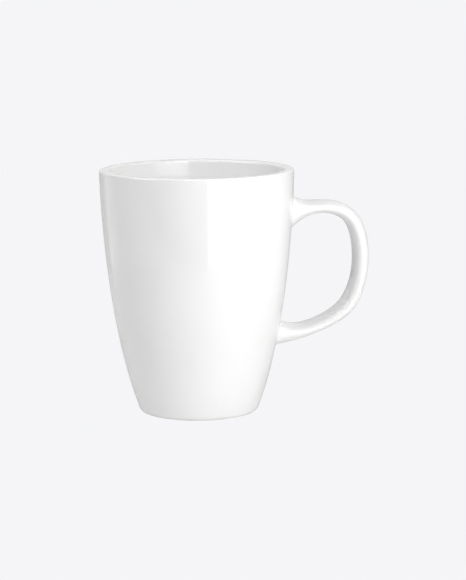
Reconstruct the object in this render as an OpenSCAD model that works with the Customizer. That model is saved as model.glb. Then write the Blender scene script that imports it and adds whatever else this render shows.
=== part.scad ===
// Ceramic mug: a tapered cup with a flat rim, a low foot ring and a wide loop handle.
// The cup and the handle are formed apart and joined with clay slip, then glazed
// all over except under the foot ring, which stays bare so that the mug can stand
// in the kiln. Nothing moves: after firing the pieces are one rigid body.
//
// Frame: millimetres, +Z up. The origin is on the cup's axis, in the plane that
// the foot ring stands on. The handle points along +X.

/* [Cup] */
// Height from the table to the top of the rim
height = 107; // [104:0.5:112]
// Outside diameter of the rim
rim_d = 85; // [82:0.5:88]
// Outside diameter where the wall runs into the rounding of the foot
base_d = 53.2; // [51:0.1:56]
// Wall thickness, glaze included
wall = 5.8; // [5.2:0.1:6.2]
// Wall thickness at the lip
lip = 4.6; // [4.2:0.1:5]
// Depth below the rim over which the lip thickens to the full wall
lip_depth = 26; // [24:1:32]
// Lean of the wall away from vertical, just under the rim
lean_top = 0.8; // [0.4:0.1:2]
// Lean of the wall away from vertical, just above the foot
lean_low = 20; // [18:0.5:21]
// How far the upper lean is held before the wall curves in
hold_top = 18; // [12:1:20]
// How far the lower lean is held before the wall curves up
hold_low = 38; // [36:1:42]
// Height of the inside floor above the table
floor_z = 7; // [6.5:0.5:9]
// Height at which the inside wall starts to round into the floor
corner_z = 19; // [17:1:24]

/* [Rim] */
// Rounding of the rim towards the outside
rim_out_r = 0.8; // [0.6:0.1:1.6]
// Rounding of the rim towards the inside
rim_in_r = 1.5; // [1.2:0.1:1.7]

/* [Foot] */
// Rounding of the outer edge at the foot
foot_r = 2.5; // [2:0.1:3]
// Width of the bare ring that the mug stands on
foot_w = 3; // [2.5:0.1:4]
// Depth of the glazed hollow inside the foot ring
recess = 1.5; // [1:0.1:2]
// Rounding between the foot ring and the hollow
recess_r = 1.2; // [0.8:0.1:1.4]

/* [Handle] */
// Height of the middle of the upper joint
joint_top_z = 87.5; // [86:0.5:89]
// Height of the middle of the lower joint
joint_low_z = 33.5; // [32:0.5:35]
// Width of the handle, the same from joint to joint
handle_w = 16.5; // [15:0.5:18]
// Thickness of the handle at the upper joint
joint_top_t = 13.4; // [12.8:0.2:14]
// Thickness of the handle at the lower joint
joint_low_t = 10.5; // [10:0.1:11]
// Squareness of the handle's section: 2 is an ellipse, more is squarer
section_power = 2.2; // [2:0.1:3]

/* [Glaze and slip] */
// Thickness of the glaze
glaze = 0.3; // [0.2:0.05:0.4]
// How far the slip stands out of the cup's glazed wall at each joint
slip_out = 0.5; // [0.3:0.1:0.8]
// How far the slip is squeezed out past the edge of the handle
slip_bead = 0.5; // [0.3:0.1:0.8]

/* [Hidden] */

// Steps along the wall, along a rounding, and round the whole turn
wall_steps = 24;
arc_steps = 8;
turn_fn = 128;
// Angle below level at which the outer glaze stops on the rounding of the foot
glaze_end = 60;
// How far the corner inside is pulled towards a sharp one
corner_pull = 0.6;
// Sides of the handle's section, and rings between two of its stations
section_sides = 20;
rings_per_span = 4;
// Height and width of each joint, slip bead included
joint_top_size = [joint_top_t, handle_w] + 2 * slip_bead * [1, 1];
joint_low_size = [joint_low_t, handle_w] + 2 * slip_bead * [1, 1];
// Distance between the axis and the far end of a shape that cuts a joint
joint_far = 60;

// --- Curves -----------------------------------------------------------------

function bezier(p, t) =
    pow(1 - t, 3) * p[0] + 3 * pow(1 - t, 2) * t * p[1]
    + 3 * (1 - t) * t * t * p[2] + pow(t, 3) * p[3];

function bezier_slope(p, t) =
    3 * pow(1 - t, 2) * (p[1] - p[0]) + 6 * (1 - t) * t * (p[2] - p[1])
    + 3 * t * t * (p[3] - p[2]);

function arc(centre, r, from, to) =
    [for (i = [0:arc_steps]) let (a = from + (to - from) * i / arc_steps)
        centre + r * [cos(a), sin(a)]];

function backwards(list) = [for (i = [len(list) - 1:-1:0]) list[i]];

// --- Outline of the cup, as radius and height ---------------------------------
// Every outline takes a depth below the finished, glazed surface.

rim_point = [rim_d / 2, height - rim_out_r * (1 + sin(lean_top))];
foot_point = [base_d / 2, foot_r * (1 - sin(lean_low))];
wall_curve = [
    rim_point,
    rim_point - hold_top * [sin(lean_top), cos(lean_top)],
    foot_point + hold_low * [sin(lean_low), cos(lean_low)],
    foot_point
];

// Outward direction of the wall at step t
function wall_out(t) =
    let (s = bezier_slope(wall_curve, t)) [-s[1], s[0]] / norm(s);

// Point at step t of the wall, at a depth below its outer surface
function wall_point(t, depth) = bezier(wall_curve, t) - depth * wall_out(t);

// Thickness of the wall at step t: thinnest at the lip, easing out to the full wall
function thickness(t) =
    let (down = min(1, (rim_point[1] - bezier(wall_curve, t)[1]) / lip_depth))
    wall - (wall - lip) * pow(1 - down, 2);

// Point at step t of the inside of the wall, at a depth below its glaze
function inside_point(t, depth) = wall_point(t, thickness(t) - depth);

// Lean of the inside of the lip, where the rounding of the rim meets it
lean_in = lean_top + atan(2 * (wall - lip) / lip_depth);
lip_point = inside_point(0, 0);
lip_rise = height - rim_in_r - lip_point[1] + rim_in_r * sin(lean_in);

// Centres of the roundings of the rim and the foot
rim_out_c = rim_point - rim_out_r * wall_out(0);
rim_in_c = lip_point + rim_in_r * [cos(lean_in), -sin(lean_in)]
    + lip_rise * [tan(lean_in), 1];
rim_middle = (rim_out_c[0] + rim_in_c[0]) / 2;
foot_c = foot_point - foot_r * wall_out(1);

function outer_line(depth, foot_to = 90) = concat(
    arc(rim_out_c, rim_out_r - depth, 90, -lean_top),
    [for (i = [1:wall_steps - 1]) wall_point(i / wall_steps, depth)],
    arc(foot_c, foot_r - depth, -lean_low, -foot_to)
);

// Step of the wall curve at which the inside wall starts to round
corner_t = lookup(-corner_z, [for (i = [0:wall_steps])
    [-inside_point(i / wall_steps, 0)[1], i / wall_steps]]);

function corner_line(depth) =
    let (
        p = inside_point(corner_t, depth),
        s = bezier_slope(wall_curve, corner_t),
        bend = p + s * (floor_z - depth - p[1]) / s[1],
        flat = [bend[0] - norm(bend - p), bend[1]],
        pull_a = p + corner_pull * (bend - p),
        pull_b = flat + corner_pull * (bend - flat)
    )
    [for (i = [0:arc_steps]) bezier([p, pull_a, pull_b, flat], i / arc_steps)];

function inner_line(depth) = concat(
    arc(rim_in_c, rim_in_r - depth, 90, 180 - lean_in),
    [for (i = [1:wall_steps - 1]) let (t = corner_t * i / wall_steps)
        inside_point(t, depth)],
    corner_line(depth),
    [[0, floor_z - depth]]
);

// Bare foot ring and the hollow inside it, from the outside in
foot_outer = foot_c[0];
foot_inner = foot_outer - foot_w;
recess_top = recess + glaze;

function foot_line() = concat(
    [[foot_outer, 0], [foot_inner, 0]],
    arc([foot_inner - recess_r, recess_top - recess_r], recess_r, 0, 90),
    [[0, recess_top]]
);

// --- Handle -------------------------------------------------------------------
// Stations along the handle, from the upper joint to the lower one. Each is
// [distance from the cup's axis, height, thickness]. The middle line and the
// thickness run through them as a smooth cubic B-spline. The first and the last
// lie below the cup's surface, where the handle would go on thickening.

outer_wall = [for (p = outer_line(0)) [-p[1], p[0]]];

function wall_radius(z) = lookup(-z, outer_wall);

rim_r = rim_d / 2;
// How far the handle's middle line runs on below the cup's surface
buried = 2.2;
stations = [
    [wall_radius(joint_top_z) - buried, joint_top_z, joint_top_t + 2.6],
    [rim_r + 5.5, joint_top_z + 1.2, 5.3],
    [rim_r + 15.5, joint_top_z + 2.5, 5.7],
    [rim_r + 27, joint_top_z - 2, 6.7],
    [rim_r + 30.7, joint_top_z - 16.8, 7],
    [rim_r + 29.5, joint_low_z + 22.7, 6.3],
    [rim_r + 25.1, joint_low_z + 11.7, 6.8],
    [rim_r + 17.3, joint_low_z + 5.5, 5.7],
    [rim_r + 2.3, joint_low_z - 0.5, 5.4],
    [wall_radius(joint_low_z) - buried, joint_low_z, joint_low_t + 0.7]
];
last = len(stations) - 1;
// One extra station past each end, in line with the last two
track = concat(
    [2 * stations[0] - stations[1]], stations,
    [2 * stations[last] - stations[last - 1]]
);

function spline(k, t) =
    (pow(1 - t, 3) * track[k] + (3 * pow(t, 3) - 6 * t * t + 4) * track[k + 1]
    + (3 * t - 3 * pow(t, 3) + 3 * t * t + 1) * track[k + 2]
    + pow(t, 3) * track[k + 3]) / 6;

function spline_slope(k, t) =
    (-pow(1 - t, 2) * track[k] + (3 * t * t - 4 * t) * track[k + 1]
    + (2 * t - 3 * t * t + 1) * track[k + 2] + t * t * track[k + 3]) / 2;

// Point of a rounded section at angle a, for half sizes u and v
function rounded(a, u, v) =
    let (c = cos(a), s = sin(a), e = 2 / section_power)
    [u * sign(c) * pow(abs(c), e), v * sign(s) * pow(abs(s), e)];

function ring(k, t, depth) =
    let (
        p = spline(k, t),
        d = spline_slope(k, t),
        up = [-d[1], d[0]] / norm([d[0], d[1]])
    )
    [for (i = [0:section_sides - 1])
        let (q = rounded(360 * i / section_sides, p[2] / 2 - depth, handle_w / 2 - depth))
        [p[0] + up[0] * q[0], q[1], p[1] + up[1] * q[0]]];

function rings(depth) = concat(
    [for (k = [0:last - 1], j = [0:rings_per_span - 1])
        ring(k, j / rings_per_span, depth)],
    [ring(last - 1, 1, depth)]
);

module handle_sweep(depth) {
    sections = rings(depth);
    n = section_sides;
    count = len(sections);
    sides = [for (i = [0:count - 2], j = [0:n - 1])
        [i * n + j, i * n + (j + 1) % n, (i + 1) * n + (j + 1) % n, (i + 1) * n + j]];
    first_cap = [for (j = [n - 1:-1:0]) j];
    last_cap = [for (j = [0:n - 1]) (count - 1) * n + j];
    polyhedron(
        points = [for (s = sections) for (p = s) p],
        faces = concat([first_cap], sides, [last_cap]),
        convexity = 6
    );
}

// --- Shared solids --------------------------------------------------------------

// The cup filled in to its axis, grown by a distance over the glazed surface
module cup_envelope(grow) {
    rotate_extrude($fn = turn_fn)
        polygon(concat([[0, height + grow]], outer_line(-grow), [[0, -grow]]));
}

// A bar along +X with the outline of one joint
module joint_bar(z, size) {
    translate([0, 0, z])
        rotate([90, 0, 90])
            linear_extrude(joint_far)
                polygon([for (i = [0:section_sides - 1])
                    let (q = rounded(360 * i / section_sides, size[0] / 2, size[1] / 2))
                    [q[1], q[0]]]);
}

module upper_bar() { joint_bar(joint_top_z, joint_top_size); }

module lower_bar() { joint_bar(joint_low_z, joint_low_size); }

module slip_shell() {
    difference() {
        cup_envelope(slip_out);
        cup_envelope(-glaze);
    }
}

// --- Pieces -----------------------------------------------------------------------

module cup_body() {
    color("linen")
        rotate_extrude($fn = turn_fn)
            polygon(concat(outer_line(glaze), foot_line(), backwards(inner_line(glaze))));
}

module outer_glaze() {
    color("white")
        difference() {
            rotate_extrude($fn = turn_fn)
                polygon(concat(
                    [[rim_middle, height]], outer_line(0, glaze_end),
                    backwards(outer_line(glaze, glaze_end)), [[rim_middle, height - glaze]]
                ));
            upper_bar();
            lower_bar();
        }
}

module inner_glaze() {
    color("ghostwhite")
        rotate_extrude($fn = turn_fn)
            polygon(concat(
                [[rim_middle, height]], inner_line(0),
                backwards(inner_line(glaze)), [[rim_middle, height - glaze]]
            ));
}

module underside_glaze() {
    color("whitesmoke")
        translate([0, 0, recess])
            cylinder(h = glaze, r = foot_inner - recess_r, $fn = turn_fn);
}

module handle() {
    color("linen")
        difference() {
            handle_sweep(glaze);
            cup_envelope(slip_out);
        }
}

module handle_glaze() {
    color("white")
        difference() {
            difference() {
                handle_sweep(0);
                cup_envelope(slip_out);
            }
            handle_sweep(glaze);
        }
}

module upper_slip_joint() {
    color("wheat")
        intersection() {
            upper_bar();
            slip_shell();
        }
}

module lower_slip_joint() {
    color("wheat")
        intersection() {
            lower_bar();
            slip_shell();
        }
}

cup_body();
outer_glaze();
inner_glaze();
underside_glaze();
handle();
handle_glaze();
upper_slip_joint();
lower_slip_joint();
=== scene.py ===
"""Looks of the ceramic mug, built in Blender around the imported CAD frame.

Every length is in metres and in the frame of the CAD: the origin is on the cup's
axis, in the plane that it stands on, +Z is up and the handle points along +X.
"""

from math import atan, cos, pi, radians, sin, tan

import bpy
import numpy as np
from mathutils import Matrix, Vector


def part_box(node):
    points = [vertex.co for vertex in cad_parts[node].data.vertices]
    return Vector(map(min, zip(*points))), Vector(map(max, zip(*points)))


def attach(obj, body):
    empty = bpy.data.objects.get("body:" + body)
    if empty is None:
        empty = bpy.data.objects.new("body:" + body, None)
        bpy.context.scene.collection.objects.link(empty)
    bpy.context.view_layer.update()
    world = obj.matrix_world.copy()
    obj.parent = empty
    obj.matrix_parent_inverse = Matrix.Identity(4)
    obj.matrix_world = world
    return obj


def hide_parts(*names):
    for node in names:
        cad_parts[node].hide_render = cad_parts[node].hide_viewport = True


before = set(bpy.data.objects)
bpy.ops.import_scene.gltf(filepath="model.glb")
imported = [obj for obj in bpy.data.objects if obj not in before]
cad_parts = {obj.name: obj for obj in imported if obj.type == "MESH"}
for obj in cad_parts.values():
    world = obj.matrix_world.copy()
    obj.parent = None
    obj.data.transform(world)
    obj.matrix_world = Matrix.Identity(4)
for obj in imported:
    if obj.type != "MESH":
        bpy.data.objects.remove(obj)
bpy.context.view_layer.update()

MM = 0.001

# --- Driving dimensions, the same as the design's ------------------------------

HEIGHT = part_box("inner_glaze")[1].z
GLAZE = 0.3 * MM
RIM_R = 42.5 * MM
FOOT_LINE_R = 26.6 * MM
WALL = 5.8 * MM
LIP = 4.6 * MM
LIP_DEPTH = 26 * MM
LEAN_TOP = radians(0.8)
LEAN_LOW = radians(20)
HOLD_TOP = 18 * MM
HOLD_LOW = 38 * MM
FLOOR_Z = 7 * MM
CORNER_Z = 19 * MM
CORNER_PULL = 0.6
RIM_OUT_R = 0.8 * MM
RIM_IN_R = 1.5 * MM
FOOT_R = 2.5 * MM
FOOT_W = 3 * MM
RECESS = 1.5 * MM
RECESS_R = 1.2 * MM
GLAZE_END = radians(60)

# Handle
JOINT_TOP_Z = 87.5 * MM
JOINT_LOW_Z = 33.5 * MM
BURIED = 2.2 * MM
HANDLE_W = 16.5 * MM
SECTION_POWER = 2.2

# Steps of the smooth meshes
WALL_STEPS = 96
ARC_STEPS = 16
TURN_STEPS = 192
SECTION_STEPS = 96
HANDLE_STEPS = 150
FILLET_STEPS = 18
CORNER_STEPS = 2 * ARC_STEPS
SCAN_STEPS = 500
HALVINGS = 40
SLOPE_STEP = 0.1 * MM
ON_AXIS = 1e-9
SHARP_EDGE = radians(35)
# How far the section's points are drawn together where it turns fastest
SECTION_CROWDING = 0.03

# Reach of the fillet at each joint, along the handle and along the cup, and how
# strongly the curve between them keeps to both surfaces
FILLET_ON_HANDLE = 1.5 * MM
FILLET_ON_CUP = 1.0 * MM
FILLET_PULL = 0.62
# Steps along the handle: the stretch in which a joint lies, and a small one for slopes
JOINT_STRETCH = 1.2
SMALL_STEP = 0.02


# --- Curves ---------------------------------------------------------------------

def bezier(points, t):
    """Points of a cubic curve, or of many curves at once, at each step t."""
    p = np.asarray(points)
    t = np.reshape(t, (-1,) + (1,) * (p.ndim - 1))
    return ((1 - t) ** 3 * p[0] + 3 * (1 - t) ** 2 * t * p[1]
            + 3 * (1 - t) * t ** 2 * p[2] + t ** 3 * p[3])


def bezier_slope(points, t):
    p = np.asarray(points)
    t = np.atleast_1d(t)[:, None]
    return (3 * (1 - t) ** 2 * (p[1] - p[0]) + 6 * (1 - t) * t * (p[2] - p[1])
            + 3 * t ** 2 * (p[3] - p[2]))


def arc(centre, radius, start, end):
    a = np.linspace(start, end, ARC_STEPS + 1)
    return np.asarray(centre) + radius * np.column_stack([np.cos(a), np.sin(a)])


def unit(v):
    return v / np.linalg.norm(v, axis=-1, keepdims=True)


# --- Outline of the cup, as radius and height -------------------------------------
# Every outline takes a depth below the finished, glazed surface.

rim_point = np.array([RIM_R, HEIGHT - RIM_OUT_R * (1 + sin(LEAN_TOP))])
foot_point = np.array([FOOT_LINE_R, FOOT_R * (1 - sin(LEAN_LOW))])
wall_curve = [
    rim_point,
    rim_point - HOLD_TOP * np.array([sin(LEAN_TOP), cos(LEAN_TOP)]),
    foot_point + HOLD_LOW * np.array([sin(LEAN_LOW), cos(LEAN_LOW)]),
    foot_point,
]


def wall_out(t):
    s = bezier_slope(wall_curve, t)
    return unit(np.column_stack([-s[:, 1], s[:, 0]]))


def outside(t, depth):
    return bezier(wall_curve, t) - depth * wall_out(t)


def inside(t, depth):
    down = np.minimum(1, (rim_point[1] - bezier(wall_curve, t)[:, 1]) / LIP_DEPTH)
    thickness = WALL - (WALL - LIP) * (1 - down) ** 2
    return bezier(wall_curve, t) - (thickness - depth)[:, None] * wall_out(t)


lean_in = LEAN_TOP + atan(2 * (WALL - LIP) / LIP_DEPTH)
lip_point = inside(0, 0)[0]
lip_rise = HEIGHT - RIM_IN_R - lip_point[1] + RIM_IN_R * sin(lean_in)
rim_out_c = rim_point - RIM_OUT_R * wall_out(0)[0]
rim_in_c = (lip_point + RIM_IN_R * np.array([cos(lean_in), -sin(lean_in)])
            + lip_rise * np.array([tan(lean_in), 1]))
rim_middle = (rim_out_c[0] + rim_in_c[0]) / 2
foot_c = foot_point - FOOT_R * wall_out(1)[0]
foot_inner = foot_c[0] - FOOT_W


def outer_line(depth, foot_to=pi / 2):
    t = np.linspace(0, 1, WALL_STEPS + 1)[1:-1]
    return np.vstack([
        arc(rim_out_c, RIM_OUT_R - depth, pi / 2, -LEAN_TOP),
        outside(t, depth),
        arc(foot_c, FOOT_R - depth, -LEAN_LOW, -foot_to),
    ])


def inner_line(depth):
    scan = np.linspace(0, 1, SCAN_STEPS)
    corner_t = np.interp(-CORNER_Z, -inside(scan, 0)[:, 1], scan)
    t = np.linspace(0, corner_t, WALL_STEPS + 1)[1:-1]
    p = inside(corner_t, depth)[0]
    s = bezier_slope(wall_curve, corner_t)[0]
    bend = p + s * (FLOOR_Z - depth - p[1]) / s[1]
    flat = np.array([bend[0] - np.linalg.norm(bend - p), bend[1]])
    corner = [p, p + CORNER_PULL * (bend - p), flat + CORNER_PULL * (bend - flat), flat]
    across = np.linspace(flat[0], 0, ARC_STEPS)[1:]
    return np.vstack([
        arc(rim_in_c, RIM_IN_R - depth, pi / 2, pi - lean_in),
        inside(t, depth),
        bezier(corner, np.linspace(0, 1, CORNER_STEPS)),
        np.column_stack([across, np.full(len(across), bend[1])]),
    ])


def foot_line():
    """Bare ring and the hollow inside it, from the outside in."""
    top = RECESS + GLAZE
    hollow = arc([foot_inner - RECESS_R, top - RECESS_R], RECESS_R, 0, pi / 2)
    across = np.linspace(hollow[-1, 0], 0, ARC_STEPS)[1:]
    return np.vstack([
        [[foot_c[0], 0], [foot_inner, 0]],
        hollow,
        np.column_stack([across, np.full(len(across), top)]),
    ])


# --- Handle -----------------------------------------------------------------------

cup_table = outer_line(0)


def cup_radius(z):
    return np.interp(-np.asarray(z), -cup_table[:, 1], cup_table[:, 0])


def cup_normal(points):
    """Outward normal of the cup's glazed wall beside each point."""
    z = points[:, 2]
    rise = cup_radius(z + SLOPE_STEP) - cup_radius(z - SLOPE_STEP)
    lean = rise / (2 * SLOPE_STEP)
    radial = unit(points[:, :2])
    return unit(np.column_stack([radial, -lean]))


stations = np.array([
    [cup_radius(JOINT_TOP_Z) - BURIED, JOINT_TOP_Z, 16 * MM],
    [RIM_R + 5.5 * MM, JOINT_TOP_Z + 1.2 * MM, 5.3 * MM],
    [RIM_R + 15.5 * MM, JOINT_TOP_Z + 2.5 * MM, 5.7 * MM],
    [RIM_R + 27 * MM, JOINT_TOP_Z - 2 * MM, 6.7 * MM],
    [RIM_R + 30.7 * MM, JOINT_TOP_Z - 16.8 * MM, 7 * MM],
    [RIM_R + 29.5 * MM, JOINT_LOW_Z + 22.7 * MM, 6.3 * MM],
    [RIM_R + 25.1 * MM, JOINT_LOW_Z + 11.7 * MM, 6.8 * MM],
    [RIM_R + 17.3 * MM, JOINT_LOW_Z + 5.5 * MM, 5.7 * MM],
    [RIM_R + 2.3 * MM, JOINT_LOW_Z - 0.5 * MM, 5.4 * MM],
    [cup_radius(JOINT_LOW_Z) - BURIED, JOINT_LOW_Z, 11.2 * MM],
])
track = np.vstack([2 * stations[0] - stations[1], stations,
                   2 * stations[-1] - stations[-2]])
SPANS = len(stations) - 1


def track_at(s):
    """Middle line and thickness at step s of the handle, and their slopes."""
    s = np.clip(np.atleast_1d(s), 0, SPANS - 1e-9)
    k = s.astype(int)
    t = (s - k)[:, None]
    a, b, c, d = (track[k + i] for i in range(4))
    value = ((1 - t) ** 3 * a + (3 * t ** 3 - 6 * t ** 2 + 4) * b
             + (3 * t - 3 * t ** 3 + 3 * t ** 2 + 1) * c + t ** 3 * d) / 6
    slope = (-(1 - t) ** 2 * a + (3 * t ** 2 - 4 * t) * b
             + (2 * t - 3 * t ** 2 + 1) * c + t ** 2 * d) / 2
    return value, slope


def handle_points(s, angle):
    """Points of the handle's glazed surface at step s and section angle."""
    value, slope = track_at(s)
    along = unit(slope[:, :2])
    c, q = np.cos(angle), np.sin(angle)
    e = 2 / SECTION_POWER
    up = value[:, 2] / 2 * np.sign(c) * np.abs(c) ** e
    side = HANDLE_W / 2 * np.sign(q) * np.abs(q) ** e
    return np.column_stack([value[:, 0] - along[:, 1] * up, side,
                            value[:, 1] + along[:, 0] * up])


def section_angles():
    """Angles round the section, a little closer together where it turns fastest."""
    a = np.linspace(0, 2 * pi, SECTION_STEPS, endpoint=False)
    return a - SECTION_CROWDING * np.sin(4 * a)


def steps_at_wall(start, away, angle):
    """Step at which each line along the handle comes out of the cup's wall."""
    near, far = np.full(len(angle), start), np.full(len(angle), start + away)
    for _ in range(HALVINGS):
        middle = (near + far) / 2
        p = handle_points(middle, angle)
        inside_cup = np.hypot(p[:, 0], p[:, 1]) < cup_radius(p[:, 2])
        near = np.where(inside_cup, middle, near)
        far = np.where(inside_cup, far, middle)
    return (near + far) / 2


def fillet_foot(contact):
    """Where the fillet meets the cup: the contact line moved outward along the wall."""
    around = np.roll(contact, -1, axis=0) - np.roll(contact, 1, axis=0)
    outward = unit(np.cross(around, cup_normal(contact)))
    centre = contact.mean(axis=0)
    outward *= np.sign(np.sum(outward * (contact - centre), axis=1))[:, None]
    on_cup = contact + FILLET_ON_CUP * outward
    on_cup[:, :2] = unit(on_cup[:, :2]) * cup_radius(on_cup[:, 2])[:, None]
    return on_cup


def joint_rings(start, away, angle):
    """Fillet between cup and handle: its rings, from the cup out, and where it ends."""
    root = steps_at_wall(start, away, angle)
    contact = handle_points(root, angle)
    step = SMALL_STEP * np.sign(away)
    toward = handle_points(root + step, angle) - contact
    end = root + step * FILLET_ON_HANDLE / np.linalg.norm(toward, axis=1)
    on_handle = handle_points(end, angle)
    into = unit(handle_points(end - step / 4, angle) - on_handle)
    on_cup = fillet_foot(contact)
    back = unit(contact - on_cup)
    reach_cup = FILLET_PULL * np.linalg.norm(contact - on_cup, axis=1)[:, None]
    reach_handle = FILLET_PULL * np.linalg.norm(contact - on_handle, axis=1)[:, None]
    control = [on_cup, on_cup + back * reach_cup, on_handle + into * reach_handle, on_handle]
    return bezier(control, np.linspace(0, 1, FILLET_STEPS + 1)), end


def handle_grid():
    """Rings of the whole handle, fillets included, from the upper joint to the lower."""
    angle = section_angles()
    upper, upper_end = joint_rings(0.0, JOINT_STRETCH, angle)
    lower, lower_end = joint_rings(float(SPANS), -JOINT_STRETCH, angle)
    rows = []
    for u in np.linspace(0, 1, HANDLE_STEPS + 1)[1:-1]:
        rows.append(handle_points(upper_end + (lower_end - upper_end) * u, angle))
    return np.concatenate([upper, np.array(rows), lower[::-1]])


def grid_normals(grid):
    """Outward normals of the rings, matched to the cup's wall at both ends."""
    along = np.gradient(grid, axis=0)
    around = np.roll(grid, -1, axis=1) - np.roll(grid, 1, axis=1)
    normal = unit(np.cross(along, around))
    middle = grid.mean(axis=1, keepdims=True)
    if np.sum(normal * (grid - middle)) < 0:
        normal = -normal
    normal[0] = cup_normal(grid[0])
    normal[-1] = cup_normal(grid[-1])
    return normal


# --- Meshes -------------------------------------------------------------------------

def new_piece(name, verts, faces, normals=None):
    mesh = bpy.data.meshes.new(name)
    mesh.from_pydata([tuple(v) for v in verts], [], faces)
    mesh.validate()
    mesh.shade_smooth()
    piece = bpy.data.objects.new(name, mesh)
    bpy.context.scene.collection.objects.link(piece)
    if normals is None:
        mesh.set_sharp_from_angle(angle=SHARP_EDGE)
    else:
        mesh.normals_split_custom_set_from_vertices([tuple(n) for n in normals])
    return piece


def lathe(name, outline):
    """Turns a closed outline of radius and height, which may start or end on the axis."""
    turn = np.linspace(0, 2 * pi, TURN_STEPS, endpoint=False)
    verts, rows = [], []
    for r, z in outline:
        if r < ON_AXIS:
            rows.append([len(verts)])
            verts.append((0, 0, z))
        else:
            rows.append(list(range(len(verts), len(verts) + TURN_STEPS)))
            verts.extend((r * cos(a), r * sin(a), z) for a in turn)
    faces = []
    for a, b in zip(rows, rows[1:] + rows[:1]):
        if len(a) == 1 and len(b) == 1:
            continue
        for i in range(TURN_STEPS):
            j = (i + 1) % TURN_STEPS
            corners = [a[i % len(a)], b[i % len(b)], b[j % len(b)], a[j % len(a)]]
            faces.append(tuple(dict.fromkeys(corners)))
    return new_piece(name, verts, faces)


def tube_faces(rings, columns, first=0):
    faces = []
    for k in range(rings - 1):
        for j in range(columns):
            n = (j + 1) % columns
            a, b = first + k * columns, first + (k + 1) * columns
            faces.append((a + j, b + j, b + n, a + n))
    return faces


def fan(ring, centre, flip):
    pairs = zip(ring, ring[1:] + ring[:1])
    return [(a, b, centre) if flip else (b, a, centre) for a, b in pairs]


def solid_tube(name, grid, normals):
    """A closed solid: a run of rings with a fan over each end."""
    rings, columns = grid.shape[:2]
    count = rings * columns
    verts = list(grid.reshape(-1, 3)) + [grid[0].mean(axis=0), grid[-1].mean(axis=0)]
    along = unit(grid[-1].mean(axis=0) - grid[0].mean(axis=0))
    shading = list(normals.reshape(-1, 3)) + [-along, along]
    first = list(range(columns))
    last = list(range(count - columns, count))
    faces = tube_faces(rings, columns)
    faces += fan(first, count, False) + fan(last, count + 1, True)
    return new_piece(name, verts, faces, shading)


def skin_tube(name, grid, normals, thickness):
    """A closed skin: the rings and the same rings one thickness further in."""
    rings, columns = grid.shape[:2]
    count = rings * columns
    inner = grid - normals * thickness
    verts = list(grid.reshape(-1, 3)) + list(inner.reshape(-1, 3))
    shading = list(normals.reshape(-1, 3)) + list(-normals.reshape(-1, 3))
    faces = tube_faces(rings, columns)
    faces += [tuple(reversed(f)) for f in tube_faces(rings, columns, count)]
    for j in range(columns):
        n = (j + 1) % columns
        low = count - columns
        faces.append((j, n, count + n, count + j))
        faces.append((low + n, low + j, count + low + j, count + low + n))
    return new_piece(name, verts, faces, shading)


# --- Materials ------------------------------------------------------------------------

# Noise patterns: scale, detail and, where it isn't the usual one, roughness
GLAZE_TONE = (38, 3)
GLAZE_WAVES = (55, 1)
GLAZE_PEEL = (420, 2)
CLAY_GRAIN = (2600, 4, 0.7)
CLAY_BLOTCH = (160, 3)
USUAL_ROUGHNESS = 0.5

GLAZE_DARKER, GLAZE_LIGHTER = (0.893, 0.893, 0.89), (0.905, 0.905, 0.904)
GLAZE_WAVE_DEPTH = 0.02 * MM
GLAZE_PEEL_DEPTH = 0.002 * MM
GLAZE_ROUGHNESS = 0.05
GLAZE_IOR = 1.52
CLAY_DARKER, CLAY_LIGHTER = (0.70, 0.68, 0.63), (0.77, 0.75, 0.71)
CLAY_GRAIN_DEPTH = 0.06 * MM
CLAY_ROUGHNESS = 0.85
# Noise values at which the darker and the lighter colour are reached
MIX_START, MIX_END = 0.35, 0.65


def new_material(name):
    material = bpy.data.materials.new(name)
    material.use_nodes = True
    nodes = material.node_tree.nodes
    return material, nodes, material.node_tree.links, nodes["Principled BSDF"]


def noise(nodes, links, coords, scale, detail, roughness=USUAL_ROUGHNESS):
    node = nodes.new("ShaderNodeTexNoise")
    node.inputs["Scale"].default_value = scale
    node.inputs["Detail"].default_value = detail
    node.inputs["Roughness"].default_value = roughness
    links.new(coords.outputs["Object"], node.inputs["Vector"])
    return node


def mix_colour(nodes, links, factor, low, high):
    ramp = nodes.new("ShaderNodeValToRGB")
    start, end = ramp.color_ramp.elements
    start.position, end.position = MIX_START, MIX_END
    start.color, end.color = (*low, 1), (*high, 1)
    links.new(factor, ramp.inputs["Fac"])
    return ramp.outputs["Color"]


def bump(nodes, links, height, distance, below=None):
    node = nodes.new("ShaderNodeBump")
    node.inputs["Strength"].default_value = 1.0
    node.inputs["Distance"].default_value = distance
    links.new(height, node.inputs["Height"])
    if below is not None:
        links.new(below, node.inputs["Normal"])
    return node.outputs["Normal"]


def glaze_material():
    """Glossy white glaze: nearly even tone, faint pooling waves and a fine orange peel."""
    material, nodes, links, shader = new_material("white_glaze")
    coords = nodes.new("ShaderNodeTexCoord")
    tone = noise(nodes, links, coords, *GLAZE_TONE)
    pool = noise(nodes, links, coords, *GLAZE_WAVES)
    peel = noise(nodes, links, coords, *GLAZE_PEEL)
    colour = mix_colour(nodes, links, tone.outputs["Fac"], GLAZE_DARKER, GLAZE_LIGHTER)
    links.new(colour, shader.inputs["Base Color"])
    waves = bump(nodes, links, pool.outputs["Fac"], GLAZE_WAVE_DEPTH)
    fine = bump(nodes, links, peel.outputs["Fac"], GLAZE_PEEL_DEPTH, waves)
    links.new(fine, shader.inputs["Normal"])
    shader.inputs["Roughness"].default_value = GLAZE_ROUGHNESS
    shader.inputs["IOR"].default_value = GLAZE_IOR
    return material


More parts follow.
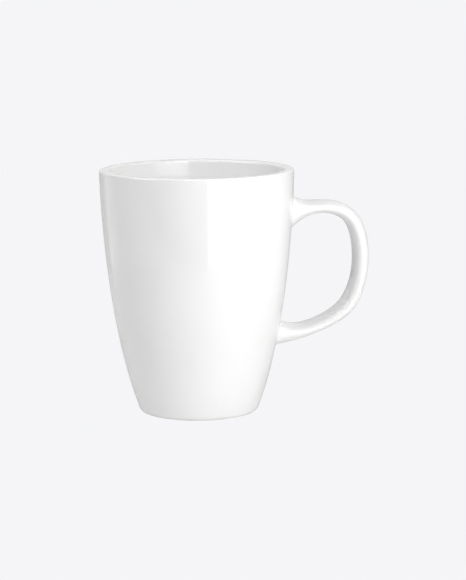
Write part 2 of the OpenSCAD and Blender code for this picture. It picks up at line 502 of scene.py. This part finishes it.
def clay_material():
    """Bare fired clay: matte, off-white and finely grained."""
    material, nodes, links, shader = new_material("bare_ceramic")
    coords = nodes.new("ShaderNodeTexCoord")
    grain = noise(nodes, links, coords, *CLAY_GRAIN)
    blotch = noise(nodes, links, coords, *CLAY_BLOTCH)
    colour = mix_colour(nodes, links, blotch.outputs["Fac"], CLAY_DARKER, CLAY_LIGHTER)
    links.new(colour, shader.inputs["Base Color"])
    rough = bump(nodes, links, grain.outputs["Fac"], CLAY_GRAIN_DEPTH)
    links.new(rough, shader.inputs["Normal"])
    shader.inputs["Roughness"].default_value = CLAY_ROUGHNESS
    return material


# --- Pieces ---------------------------------------------------------------------------

def finish_piece(piece, material, node):
    piece.data.materials.append(material)
    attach(piece, "root")
    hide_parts(node)


def build_cup_clay(clay):
    outline = np.vstack([outer_line(GLAZE), foot_line(), inner_line(GLAZE)[::-1]])
    finish_piece(lathe("cup_clay", outline), clay, "cup_body")


def coat_outline(surface, back):
    """Closed outline of a glaze coat that starts at the middle of the rim."""
    start, end = [[rim_middle, HEIGHT]], [[rim_middle, HEIGHT - GLAZE]]
    return np.vstack([start, surface, back[::-1], end])


def build_outside_glaze(glaze):
    outline = coat_outline(outer_line(0, GLAZE_END), outer_line(GLAZE, GLAZE_END))
    finish_piece(lathe("outside_glaze_coat", outline), glaze, "outer_glaze")


def build_inside_glaze(glaze):
    outline = coat_outline(inner_line(0), inner_line(GLAZE))
    finish_piece(lathe("inside_glaze_coat", outline), glaze, "inner_glaze")


def build_underside_glaze(glaze):
    middle = [foot_inner - RECESS_R - GLAZE / 2, RECESS + GLAZE / 2]
    edge = arc(middle, GLAZE / 2, -pi / 2, pi / 2)
    outline = np.vstack([[[0, RECESS]], edge, [[0, RECESS + GLAZE]]])
    disc = lathe("underside_glaze_coat", outline)
    finish_piece(disc, glaze, "underside_glaze")


def build_handle(glaze, clay):
    """Handle, its glaze and the fillet of each joint, cut from one run of rings."""
    grid = handle_grid()
    normal = grid_normals(grid)
    up = slice(0, FILLET_STEPS + 1)
    low = slice(len(grid) - FILLET_STEPS - 1, len(grid))
    loop = slice(FILLET_STEPS, len(grid) - FILLET_STEPS)
    upper = solid_tube("upper_joint_fillet", grid[up], normal[up])
    lower = solid_tube("lower_joint_fillet", grid[low], normal[low])
    coat = skin_tube("handle_glaze_coat", grid[loop], normal[loop], GLAZE)
    core = solid_tube("handle_clay", (grid - GLAZE * normal)[loop], normal[loop])
    finish_piece(upper, glaze, "upper_slip_joint")
    finish_piece(lower, glaze, "lower_slip_joint")
    finish_piece(coat, glaze, "handle_glaze")
    finish_piece(core, clay, "handle")


# --- Studio -----------------------------------------------------------------------------
# Everything in the studio is laid out round the mug in the camera's own frame, with the
# camera at azimuth 0 on the -Y side and azimuths growing towards +X. STUDIO_TURN then
# turns it all about the cup's axis, because the handle points a little away from the
# camera.

STUDIO_TURN = Matrix.Rotation(radians(-6.4), 4, "Z")
BACKDROP = (0.9131, 0.9131, 0.9301)

# Standing panels: azimuths of both ends, distance, lower and upper edge, radiance.
# The front fill reaches down past the front edge of the table.
PANELS = {
    "key": (12, 40, 0.45, 0.3, 0.6, 9.2),
    "front_fill": (12, 62, 0.45, -0.18, 0.2, 2.6),
    "side_fill": (40, 62, 0.45, 0.3, 0.8, 1.8),
    "left_panel": (-108, -50, 0.3, 0, 0.6, 0.37),
    "rear_left_panel": (-132, -108, 0.3, 0, 0.6, 0.59),
}
# Softboxes overhead: azimuth and radiance
OVERHEAD = {
    "overhead_left": (-90, 2.9),
    "overhead_right": (100, 1.8),
    "overhead_front_left": (-45, 1.1),
}
OVERHEAD_OUT, OVERHEAD_UP = 0.9, 1.0
OVERHEAD_SIZE = (0.8, 0.7)
# Glowing wall behind the table: width and height, then radiance
BACK_WALL = (3, 1.5)
BACK_WALL_GLOW = 0.75

FLOOR_REACH = 6
TABLE_FRONT, TABLE_REACH = 0.23, 1.5
TABLE_GAP = 0.5 * MM
TABLE_GREY = 0.85
TABLE_ROUGHNESS = 0.6

CAMERA_AWAY, CAMERA_UP = 0.900, 0.20418
YAW, PITCH, ROLL = 0.01712, 0.16625, -0.008
LENS_MM, SENSOR_MM = 128.66, 36


def add_to_studio(thing, matrix):
    thing.matrix_world = STUDIO_TURN @ matrix
    bpy.context.scene.collection.objects.link(thing)
    return thing


def build_camera():
    """Camera in front of the mug and a little above its rim."""
    forward = Vector((sin(YAW) * cos(PITCH), cos(YAW) * cos(PITCH), -sin(PITCH)))
    level = Vector((cos(YAW), -sin(YAW), 0))
    top = level.cross(forward)
    right = level * cos(ROLL) + top * sin(ROLL)
    upward = top * cos(ROLL) - level * sin(ROLL)
    data = bpy.data.cameras.new("camera")
    data.lens = LENS_MM
    data.sensor_width = SENSOR_MM
    camera = bpy.data.objects.new("camera", data)
    aim = Matrix((right, upward, -forward)).transposed().to_4x4()
    add_to_studio(camera, Matrix.Translation((0, -CAMERA_AWAY, CAMERA_UP)) @ aim)
    bpy.context.scene.camera = camera


def flat_sheet(name, corners, material):
    mesh = bpy.data.meshes.new(name)
    mesh.from_pydata(corners, [], [(0, 1, 2, 3)])
    mesh.materials.append(material)
    sheet = add_to_studio(bpy.data.objects.new(name, mesh), Matrix())
    return sheet


def rectangle(left, right, front, back, z):
    return [(left, front, z), (right, front, z), (right, back, z), (left, back, z)]


def floor_material():
    """Plain pale glow, the same as the backdrop's."""
    material = bpy.data.materials.new("floor")
    material.use_nodes = True
    nodes, links = material.node_tree.nodes, material.node_tree.links
    nodes.clear()
    glow = nodes.new("ShaderNodeEmission")
    glow.inputs["Color"].default_value = (*BACKDROP, 1)
    out = nodes.new("ShaderNodeOutputMaterial")
    links.new(glow.outputs["Emission"], out.inputs["Surface"])
    return material


def build_floor():
    """A pale floor that only the camera sees."""
    corners = rectangle(-FLOOR_REACH, FLOOR_REACH, -FLOOR_REACH, FLOOR_REACH, 0)
    floor = flat_sheet("floor", corners, floor_material())
    floor.visible_diffuse = False
    floor.visible_glossy = False
    floor.visible_shadow = False


def build_table():
    """A table that only the light sees, just under the floor."""
    board, _, _, shader = new_material("table")
    shader.inputs["Base Color"].default_value = (TABLE_GREY, TABLE_GREY, TABLE_GREY, 1)
    shader.inputs["Roughness"].default_value = TABLE_ROUGHNESS
    corners = rectangle(-TABLE_REACH, TABLE_REACH, -TABLE_FRONT, TABLE_REACH, -TABLE_GAP)
    table = flat_sheet("table", corners, board)
    table.visible_camera = False


def softbox(name, centre, facing, width, height, radiance):
    """A rectangular light that the camera doesn't see."""
    data = bpy.data.lights.new(name, "AREA")
    data.shape = "RECTANGLE"
    data.size, data.size_y = width, height
    data.energy = radiance * pi * width * height
    light = bpy.data.objects.new(name, data)
    aim = Vector(facing).to_track_quat("-Z", "Y").to_matrix().to_4x4()
    light.visible_camera = False
    return add_to_studio(light, Matrix.Translation(centre) @ aim)


def around(azimuth, distance, up=0):
    """Place at an azimuth in degrees, a distance from the cup's axis and a height."""
    a = radians(azimuth)
    return Vector((distance * sin(a), -distance * cos(a), up))


def build_lights():
    """Standing panels, softboxes overhead and the glowing wall at the back."""
    for name, (start, end, distance, low, high, radiance) in PANELS.items():
        a, b = around(start, distance), around(end, distance)
        inward = -(a + b)
        centre = (a + b) / 2 + Vector((0, 0, (low + high) / 2))
        softbox(name, centre, inward, (a - b).length, high - low, radiance)
    for name, (azimuth, radiance) in OVERHEAD.items():
        centre = around(azimuth, OVERHEAD_OUT, OVERHEAD_UP)
        softbox(name, centre, -centre, *OVERHEAD_SIZE, radiance)
    centre = around(180, TABLE_REACH, BACK_WALL[1] / 2)
    softbox("back_wall", centre, (0, -1, 0), *BACK_WALL, BACK_WALL_GLOW)


def build_world():
    """The pale backdrop, which gives no light of its own."""
    world = bpy.data.worlds.new("studio")
    bpy.context.scene.world = world
    world.use_nodes = True
    world.node_tree.nodes["Background"].inputs["Color"].default_value = (*BACKDROP, 1)
    world.cycles_visibility.diffuse = False
    world.cycles_visibility.glossy = False


glaze_look = glaze_material()
clay_look = clay_material()
build_cup_clay(clay_look)
build_outside_glaze(glaze_look)
build_inside_glaze(glaze_look)
build_underside_glaze(glaze_look)
build_handle(glaze_look, clay_look)
build_camera()
build_floor()
build_table()
build_lights()
build_world()
bpy.context.scene.view_settings.view_transform = "Standard"
